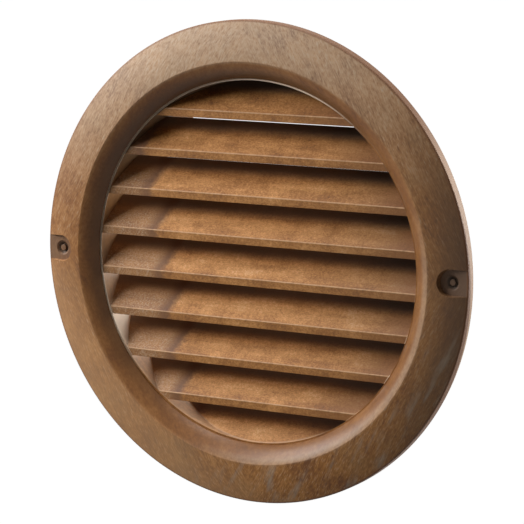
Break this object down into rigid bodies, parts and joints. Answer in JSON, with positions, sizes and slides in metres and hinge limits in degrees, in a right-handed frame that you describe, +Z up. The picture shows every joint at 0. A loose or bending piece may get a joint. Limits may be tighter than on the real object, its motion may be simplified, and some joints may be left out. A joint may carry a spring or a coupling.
{
  "type": "round vent cover",
  "caption": "Round louvred vent cover moulded in wood-effect plastic, with a ridged flange, side screw pockets and a short tube behind that fits a duct.",
  "frame": {"origin": "on the tube's axis at the wall plane, the back face of the flange rim", "axes": "+Y along the tube into the duct, the front faces -Y, +Z up, the slats run along X"},
  "size_m": [0.128, 0.0285, 0.128],
  "materials": {
    "wood_effect_plastic": "brown wood-effect moulded plastic with a soft sheen"
  },
  "bodies": {
    "root": {"vent_cover": "wood_effect_plastic"}
  },
  "joints": []
}
